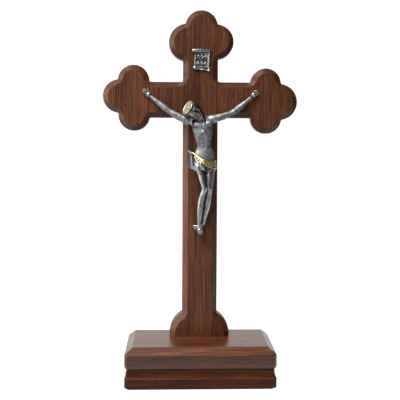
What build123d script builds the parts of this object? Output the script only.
from build123d import *

import math
import os

# Standing altar crucifix: a walnut cross with trefoil ends on a two-board base, with a cast corpus.
#
# Frame: millimetres, +Z up, +Y to the back, origin at the middle of the base's underside. Left and
# right are the viewer's. The corpus and the titulus are laid out on the cross's own front face: x
# across, z up from the cross's foot, d forward of the face.

# Base: two boards glued one on the other, on a felt sheet
BASE_W, BASE_D = 97.2, 51.0
FELT_T, PLINTH_T, SLAB_T = 1.0, 12.0, 13.3
BASE_TOP = FELT_T + PLINTH_T + SLAB_T
CORNER_CUT = 1.7  # each side's share of the 45 degree cut down an upright corner
BEVEL_IN, BEVEL_DOWN = 5.0, 4.2  # the broad bevel round the slab's top
WAIST_INSET = 1.25  # how far in the two boards meet
SLAB_UNDERCUT = 3.1  # height of the rounding under the slab
COVE_BOTTOM, COVE_TOP = 5.9, 10.0  # the plinth's cove, above the plinth's underside
ARRIS = 0.3  # sanded edges
FELT_INSET = 1.2

# Cross: one board
BOARD_T = 12.5
BOARD_FRONT = 3.0  # the board stands a little behind the middle of the base
BOARD_MID = BOARD_FRONT + BOARD_T / 2
SHAFT_HALF, ARM_HALF = 11.65, 11.9
ARM_Z = 159.1
# The lobes as (x, z, radius), z above the foot. They are sawn by hand, so no two are quite alike.
TOP_LOBES = ((0.6, 207.9, 10.8), (-8.8, 197.4, 12.3), (10.5, 197.9, 11.5))
LEFT_LOBES = ((-53.9, 161.4, 11.1), (-44.6, 171.8, 10.4), (-44.2, 148.8, 10.4))
RIGHT_LOBES = ((52.9, 158.1, 12.1), (43.9, 170.5, 10.0), (44.1, 147.1, 10.3))
FOOT_HALF, FOOT_RISE, FOOT_CURVE_R = 20.0, 15.4, 16.0
SAW_R = 1.0  # inner corners of the sawn outline
BEARING_R = 4.2  # the bevel cutter's bearing turns wide in those corners
BOARD_BEVEL = 3.5
BACK_EASE = 0.6

# Fixings
DOWEL_R, DOWEL_L, DOWEL_X, DOWEL_EASE = 2.5, 20.0, 12.5, 0.6
DOWEL_FLUTES, FLUTE_R = 10, 0.3
SCREW_R, SCREW_CORE_R, SCREW_L, SCREW_TIP, THREAD_PITCH, THREAD_L = 1.75, 1.2, 36.0, 2.4, 1.5, 24.0
SCREW_HEAD_R, SCREW_HEAD_H, SCREW_SUNK, SINK_ANGLE = 3.5, 2.6, 0.4, 82
DRIVE_W, DRIVE_SPAN, DRIVE_DEEP = 0.9, 3.6, 1.6
NAIL_R, NAIL_HEAD_R, NAIL_HEAD_H, NAIL_IN_WOOD, NAIL_POINT = 0.5, 1.2, 0.7, 6.0, 1.6
GLUE_FIT = 0.02  # per side, round dowels, pins and driven nails
CAST_FIT = 0.1  # per side, where a nail passes through the casting
SCREW_FIT = 0.25  # per side, where the screw passes through the base
DRILL_SPARE = 0.4  # a blind hole goes this much deeper than what sits in it

# Titulus: a scroll plate, rolled at the top and the bottom, cast with two studs behind
TITULUS_X, TITULUS_Z, TITULUS_LEAN = 0.9, 185.2, 3.0
TITULUS_W, TITULUS_H, TITULUS_T, TITULUS_WAIST = 10.6, 12.6, 0.9, 0.35
ROLL_R, ROLL_W = 1.1, 11.4
STUD_R, STUD_L, STUD_OFF = 0.6, 3.5, 3.4

# Nimbus: a dished disc with a stud behind, seated on the crown of the head
NIMBUS_R, NIMBUS_T, NIMBUS_RIM, NIMBUS_DISH = 5.3, 0.7, 0.8, 0.3
NIMBUS_STUD_R, NIMBUS_STUD_L = 0.5, 2.0

# Where the nails' heads bear on the casting, as (x, z, d)
NAIL_SEATS = {
    "hand_nail_left": (-34.4, 162.3, 2.4),
    "hand_nail_right": (35.2, 162.4, 2.4),
    "feet_nail": (-0.3, 72.9, 6.3),
}

# The figure, as limbs of sections (x, z, d, half width, half thickness). The head has sunk forward
# and onto its right shoulder; the knees stand forward and one foot lies over the other.
HEAD = (-3.7, 150.7, 8.6)
HEAD_UP = (-0.795, 0.478, 0.375)
CROWN = 5.6  # from the head's centre to the nimbus's seat
TRUNK = (
    (0.6, 147.2, 5.0, 3.6, 2.4),
    (0.1, 143.6, 5.3, 7.7, 3.4),
    (1.2, 139.0, 5.7, 7.2, 3.9),
    (1.8, 134.2, 5.5, 6.0, 3.6),
    (2.2, 129.8, 5.0, 5.1, 3.1),
    (2.6, 124.6, 5.2, 6.5, 3.6),
    (2.6, 118.6, 5.6, 7.3, 4.0),
    (3.0, 112.6, 6.0, 6.4, 3.4),
)
NECK = ((1.2, 142.6, 5.2, 2.6, 2.4), (0.6, 146.2, 6.0, 2.3, 2.3), (-1.9, 149.0, 7.6, 2.5, 2.5))
HAIR = ((-3.7, 152.8, 8.2, 3.2, 3.2), (0.9, 151.3, 6.8, 3.2, 3.0), (3.5, 147.6, 5.8, 2.1, 2.1))
ARM_LEFT = (
    (-4.6, 143.4, 5.3, 2.9, 2.7),
    (-9.4, 144.9, 5.1, 2.9, 2.7),
    (-15.6, 147.9, 4.2, 2.2, 2.1),
    (-21.6, 151.5, 3.4, 2.2, 1.9),
    (-27.2, 155.9, 2.6, 1.8, 1.6),
    (-32.4, 159.9, 1.9, 1.4, 1.1),
    (-34.4, 162.2, 1.7, 1.9, 0.8),
    (-38.0, 165.2, 1.9, 1.1, 0.6),
)
ARM_RIGHT = (
    (3.4, 144.6, 5.3, 2.9, 2.7),
    (7.6, 145.8, 5.1, 2.9, 2.7),
    (14.0, 147.8, 4.2, 2.2, 2.1),
    (21.4, 150.6, 3.4, 2.2, 1.9),
    (27.4, 155.3, 2.6, 1.8, 1.6),
    (33.0, 160.0, 1.9, 1.4, 1.1),
    (35.2, 162.3, 1.7, 1.9, 0.8),
    (38.6, 164.4, 1.9, 1.1, 0.6),
)
LEG_LEFT = (
    (-0.7, 117.0, 5.6, 3.2, 3.0),
    (0.5, 110.6, 6.8, 2.9, 3.1),
    (1.8, 105.4, 7.9, 2.5, 2.7),
    (2.7, 101.2, 8.5, 2.1, 2.3),
    (1.4, 95.6, 7.7, 2.1, 2.3),
    (0.1, 88.8, 6.8, 2.0, 2.2),
    (-0.5, 80.6, 6.0, 1.4, 1.6),
    (-0.3, 77.0, 5.8, 1.4, 1.5),
    (-0.1, 73.4, 5.3, 2.0, 1.4),
    (0.5, 69.4, 4.5, 1.6, 0.8),
)
LEG_RIGHT = (
    (6.1, 117.0, 5.6, 3.1, 3.0),
    (6.5, 110.6, 6.5, 2.7, 2.9),
    (6.1, 105.2, 7.2, 2.4, 2.6),
    (5.7, 100.4, 7.6, 2.1, 2.3),
    (5.2, 95.0, 6.5, 2.0, 2.2),
    (4.3, 88.0, 5.1, 1.9, 2.1),
    (2.8, 80.8, 3.7, 1.4, 1.5),
    (1.9, 77.0, 3.1, 1.4, 1.4),
    (-0.2, 74.4, 2.8, 1.8, 1.3),
    (-3.8, 73.2, 2.5, 1.3, 0.9),
)
CLOTH_KNOT = ((-4.6, 126.0, 5.6, 1.2, 1.2), (-6.0, 120.6, 5.6, 1.9, 1.2), (-5.8, 113.6, 5.4, 2.7, 1.0))
LIMBS = (TRUNK, NECK, HAIR, ARM_LEFT, ARM_RIGHT, LEG_LEFT, LEG_RIGHT, CLOTH_KNOT)
HEAD_SECTIONS = ((-5.9, 1.2), (-4.2, 2.9), (-1.2, 4.2), (2.0, 4.6), (4.4, 3.9), (6.2, 2.4))

os.makedirs("parts", exist_ok=True)


ON_FLOOR = (Align.CENTER, Align.CENTER, Align.MIN)
HANGING = (Align.CENTER, Align.CENTER, Align.MAX)


def save(builder, name):
    """Labels a finished sub-part and writes it as its own node."""
    builder.part.label = name
    export_step(builder.part, f"parts/{name}.step")


def place(x, z, d):
    """The point in the object's frame for a place on the cross's front face."""
    return Vector(x, BOARD_FRONT - d, BASE_TOP + z)


def facing(x, z, d, lean=0.0):
    """A plane at that place that faces the viewer, its x to the right, turned clockwise by lean."""
    return Plane(place(x, z, d), x_dir=Vector(1, 0, 0).rotate(Axis.Y, lean), z_dir=(0, -1, 0))


# ---- base boards ---------------------------------------------------------------------------------
def slab_section(half):
    """The slab's section to sides that lie half from the middle: rounded below, bevelled above."""
    with BuildSketch() as section:
        with BuildLine():
            Line((0, 0), (half - WAIST_INSET, 0))
            EllipticalCenterArc(
                (half - WAIST_INSET, SLAB_UNDERCUT), WAIST_INSET, SLAB_UNDERCUT, 270, arc_size=90
            )
            FilletPolyline(
                (half, SLAB_UNDERCUT),
                (half, SLAB_T - BEVEL_DOWN),
                (half - BEVEL_IN, SLAB_T),
                (0, SLAB_T),
                radius=ARRIS,
            )
            Line((0, SLAB_T), (0, 0))
        make_face()
        mirror(about=Plane.YZ)
    return section.sketch


def plinth_section(half):
    """The plinth's section to sides that lie half from the middle: a cove above a flat edge."""
    with BuildSketch() as section:
        with BuildLine():
            Polyline((half - WAIST_INSET, PLINTH_T), (0, PLINTH_T), (0, 0), (half, 0), (half, COVE_BOTTOM))
            EllipticalCenterArc((half, COVE_TOP), WAIST_INSET, COVE_TOP - COVE_BOTTOM, 180, arc_size=90)
            Line((half - WAIST_INSET, COVE_TOP), (half - WAIST_INSET, PLINTH_T))
        make_face()
        mirror(about=Plane.YZ)
    return section.sketch


def side_plane(turn, height):
    """An upright plane across the base, turned about Z, its local y up from that height."""
    across = Vector(1, 0, 0).rotate(Axis.Z, turn)
    return Plane((0, 0, height), x_dir=across, z_dir=across.cross(Vector(0, 0, 1)))


# The long sides, the short sides and the two pairs of cut corners: how far each is turned from
# the X axis, and how far it lies from the middle.
CORNER_HALF = (BASE_W / 2 + BASE_D / 2 - CORNER_CUT) / math.sqrt(2)
BASE_SIDES = ((0, BASE_W / 2), (90, BASE_D / 2), (45, CORNER_HALF), (-45, CORNER_HALF))

with BuildPart() as base_plinth_board:
    for turn, half in BASE_SIDES:
        with BuildSketch(side_plane(turn, FELT_T)):
            add(plinth_section(half))
        extrude(amount=BASE_W, both=True, mode=Mode.INTERSECT if turn else Mode.ADD)
    fillet(base_plinth_board.edges().filter_by(Axis.Z), ARRIS)
    with Locations(Location((0, BOARD_MID, FELT_T), (180, 0, 0))):
        CounterBoreHole(SCREW_R + SCREW_FIT, SCREW_HEAD_R + SCREW_FIT, SCREW_SUNK)
    with Locations(Location((0, BOARD_MID, FELT_T + SCREW_SUNK), (180, 0, 0))):
        CounterSinkHole(SCREW_R + SCREW_FIT, SCREW_HEAD_R + SCREW_FIT, counter_sink_angle=SINK_ANGLE)
save(base_plinth_board, "base_plinth_board")

with BuildPart() as base_top_board:
    for turn, half in BASE_SIDES:
        with BuildSketch(side_plane(turn, FELT_T + PLINTH_T)):
            add(slab_section(half))
        extrude(amount=BASE_W, both=True, mode=Mode.INTERSECT if turn else Mode.ADD)
    fillet(base_top_board.edges().filter_by(Axis.Z), ARRIS)
    with Locations((0, BOARD_MID, BASE_TOP)):
        Hole(SCREW_R + SCREW_FIT)
    with Locations((-DOWEL_X, BOARD_MID, BASE_TOP), (DOWEL_X, BOARD_MID, BASE_TOP)):
        Hole(DOWEL_R + GLUE_FIT, DOWEL_L / 2 + DRILL_SPARE)
save(base_top_board, "base_top_board")

with BuildPart() as felt_sheet:
    with BuildSketch():
        sheet = Rectangle(BASE_W - 2 * FELT_INSET, BASE_D - 2 * FELT_INSET)
        chamfer(sheet.vertices(), CORNER_CUT)
    extrude(amount=FELT_T)
save(felt_sheet, "felt_sheet")



# ---- cross ---------------------------------------------------------------------------------------
def cross_outline(corner_radius):
    """The sawn outline, its inner corners rounded to that radius; y is up from the foot."""
    with BuildSketch() as outline:
        top, left, right = TOP_LOBES[0][1], LEFT_LOBES[0][0], RIGHT_LOBES[0][0]
        with Locations((0, top / 2)):
            Rectangle(2 * SHAFT_HALF, top)
        with Locations(((left + right) / 2, ARM_Z)):
            Rectangle(right - left, 2 * ARM_HALF)
        for x, z, radius in TOP_LOBES + LEFT_LOBES + RIGHT_LOBES:
            with Locations((x, z)):
                Circle(radius)
        for side in (-1, 1):
            with BuildLine():
                Polyline((0, FOOT_RISE), (0, 0), (side * FOOT_HALF, 0))
                RadiusArc((side * FOOT_HALF, 0), (side * SHAFT_HALF, FOOT_RISE), side * -FOOT_CURVE_R)
                Line((side * SHAFT_HALF, FOOT_RISE), (0, FOOT_RISE))
            make_face()
        offset(amount=corner_radius, kind=Kind.ARC)
        offset(amount=-corner_radius, kind=Kind.ARC)
    return outline.sketch


with BuildPart() as cross_board:
    with BuildSketch(facing(0, 0, -BOARD_T)):
        add(cross_outline(BEARING_R))
    extrude(amount=BOARD_T)
    front = cross_board.faces().sort_by(Axis.Y)[0]
    chamfer(front.edges().sort_by(Axis.Z)[1:], BOARD_BEVEL)
    with BuildSketch(facing(0, 0, -BOARD_T)):
        add(cross_outline(SAW_R))
    extrude(amount=BOARD_T, mode=Mode.INTERSECT)
    back = cross_board.faces().sort_by(Axis.Y)[-1]
    chamfer(back.edges().sort_by(Axis.Z)[1:], BACK_EASE)
    with Locations(Location((0, BOARD_MID, BASE_TOP), (180, 0, 0))):
        Hole(SCREW_R, FELT_T + SCREW_SUNK + SCREW_L - BASE_TOP + DRILL_SPARE)
    with Locations(
        Location((-DOWEL_X, BOARD_MID, BASE_TOP), (180, 0, 0)),
        Location((DOWEL_X, BOARD_MID, BASE_TOP), (180, 0, 0)),
    ):
        Hole(DOWEL_R + GLUE_FIT, DOWEL_L / 2 + DRILL_SPARE)
    for x, z, d in NAIL_SEATS.values():
        with Locations(facing(x, z, 0)):
            Hole(NAIL_R + GLUE_FIT, NAIL_IN_WOOD + DRILL_SPARE)
    with Locations(facing(TITULUS_X, TITULUS_Z, 0, TITULUS_LEAN)):
        with Locations((0, -STUD_OFF), (0, STUD_OFF)):
            Hole(STUD_R + GLUE_FIT, STUD_L + DRILL_SPARE)
save(cross_board, "cross_board")


# ---- fixings -------------------------------------------------------------------------------------
for name, x in (("dowel_left", -DOWEL_X), ("dowel_right", DOWEL_X)):
    with BuildPart(Plane((x, BOARD_MID, BASE_TOP))) as dowel:
        Cylinder(DOWEL_R, DOWEL_L)
        chamfer(dowel.edges(), DOWEL_EASE)
        with PolarLocations(DOWEL_R, DOWEL_FLUTES):
            Cylinder(FLUTE_R, DOWEL_L, mode=Mode.SUBTRACT)
    save(dowel, name)


def half_profile(points):
    """A closed profile to revolve about its own y axis, from (radius, height) points."""
    with BuildSketch() as profile:
        with BuildLine():
            Polyline(*points, close=True)
        make_face()
    return profile.sketch


def screw_points():
    """The wood screw's profile, head downwards: flat head, plain shank, ringed thread and tip."""
    points = [(0, 0), (SCREW_HEAD_R, 0), (SCREW_CORE_R, SCREW_HEAD_H)]
    rings = int(THREAD_L / THREAD_PITCH)
    start = SCREW_L - SCREW_TIP - THREAD_L
    for ring in range(rings):
        foot = start + ring * THREAD_PITCH
        points += [(SCREW_CORE_R, foot), (SCREW_R, foot + THREAD_PITCH / 3)]
        points += [(SCREW_CORE_R, foot + 2 * THREAD_PITCH / 3)]
    return points + [(SCREW_CORE_R, SCREW_L - SCREW_TIP), (0, SCREW_L)]


with BuildPart() as base_screw:
    with BuildSketch(Plane((0, BOARD_MID, FELT_T + SCREW_SUNK), x_dir=(1, 0, 0), z_dir=(0, -1, 0))):
        add(half_profile(screw_points()))
    revolve(axis=Axis((0, BOARD_MID, 0), (0, 0, 1)))
    with Locations((0, BOARD_MID, FELT_T + SCREW_SUNK)):
        Box(DRIVE_SPAN, DRIVE_W, DRIVE_DEEP, align=ON_FLOOR, mode=Mode.SUBTRACT)
        Box(DRIVE_W, DRIVE_SPAN, DRIVE_DEEP, align=ON_FLOOR, mode=Mode.SUBTRACT)
save(base_screw, "base_screw")

for name, (x, z, d) in NAIL_SEATS.items():
    reach = d + NAIL_IN_WOOD
    with BuildPart() as nail:
        with BuildSketch(Plane(place(x, z, d), x_dir=(1, 0, 0), z_dir=(0, 0, 1))):
            with BuildLine():
                EllipticalCenterArc((0, 0), NAIL_HEAD_R, NAIL_HEAD_H, 270, arc_size=90)
                Polyline(
                    (NAIL_HEAD_R, 0), (NAIL_R, 0), (NAIL_R, reach - NAIL_POINT), (0, reach), (0, -NAIL_HEAD_H)
                )
            make_face()
        revolve(axis=Axis(place(x, z, d), (0, 1, 0)))
    save(nail, name)


# ---- titulus -------------------------------------------------------------------------------------
scroll = facing(TITULUS_X, TITULUS_Z, 0, TITULUS_LEAN)

with BuildPart(scroll) as titulus:
    with BuildSketch(scroll):
        half_w, half_h = TITULUS_W / 2, TITULUS_H / 2
        with BuildLine():
            Line((-half_w, half_h), (half_w, half_h))
            ThreePointArc((half_w, half_h), (half_w - TITULUS_WAIST, 0), (half_w, -half_h))
            Line((half_w, -half_h), (-half_w, -half_h))
            ThreePointArc((-half_w, -half_h), (-half_w + TITULUS_WAIST, 0), (-half_w, half_h))
        make_face()
    extrude(amount=TITULUS_T)
    for end in (-1, 1):
        with Locations(Location((0, end * (TITULUS_H / 2), ROLL_R), (0, 90, 0))):
            Cylinder(ROLL_R, ROLL_W)
    with Locations((0, -STUD_OFF, 0), (0, STUD_OFF, 0)):
        Cylinder(STUD_R, STUD_L, align=HANGING)
save(titulus, "titulus")


# ---- corpus and nimbus ---------------------------------------------------------------------------
def direction(x, z, d):
    """A unit vector in the object's frame from one given as (x, z, d)."""
    return Vector(x, -d, z).normalized()


def limb_planes(sections):
    """A plane square to the limb's line at each section, its local x lying along the board."""
    points = [place(x, z, d) for x, z, d, _, _ in sections]
    for index, point in enumerate(points):
        before = points[max(index - 1, 0)]
        after = points[min(index + 1, len(points) - 1)]
        along = (after - before).normalized()
        yield Plane(point, x_dir=along.cross(Vector(0, 1, 0)), z_dir=along)


crown_up = direction(*HEAD_UP)
crown = Plane(place(*HEAD) + crown_up * CROWN, z_dir=crown_up)

with BuildPart() as corpus:
    for sections in LIMBS:
        for plane, section in zip(limb_planes(sections), sections):
            with BuildSketch(plane):
                Ellipse(section[3], section[4])
        loft()
    for height, radius in HEAD_SECTIONS:
        with BuildSketch(crown.offset(height - CROWN)):
            Circle(radius)
    loft()
    with Locations(crown):
        Cylinder(2 * NIMBUS_R, 2 * NIMBUS_T, align=ON_FLOOR, mode=Mode.SUBTRACT)
        Hole(NIMBUS_STUD_R + GLUE_FIT, NIMBUS_STUD_L + DRILL_SPARE)
    for x, z, d in NAIL_SEATS.values():
        with Locations(facing(x, z, d)):
            Cylinder(NAIL_R + CAST_FIT, 2 * d, mode=Mode.SUBTRACT)
            Cylinder(NAIL_HEAD_R + CAST_FIT, d, align=ON_FLOOR, mode=Mode.SUBTRACT)
save(corpus, "corpus")

with BuildPart(crown) as nimbus:
    Cylinder(NIMBUS_R, NIMBUS_T, align=ON_FLOOR)
    with Locations((0, 0, NIMBUS_T)):
        Cylinder(NIMBUS_R - NIMBUS_RIM, NIMBUS_DISH, align=HANGING, mode=Mode.SUBTRACT)
    Cylinder(NIMBUS_STUD_R, NIMBUS_STUD_L, align=HANGING)
save(nimbus, "nimbus")
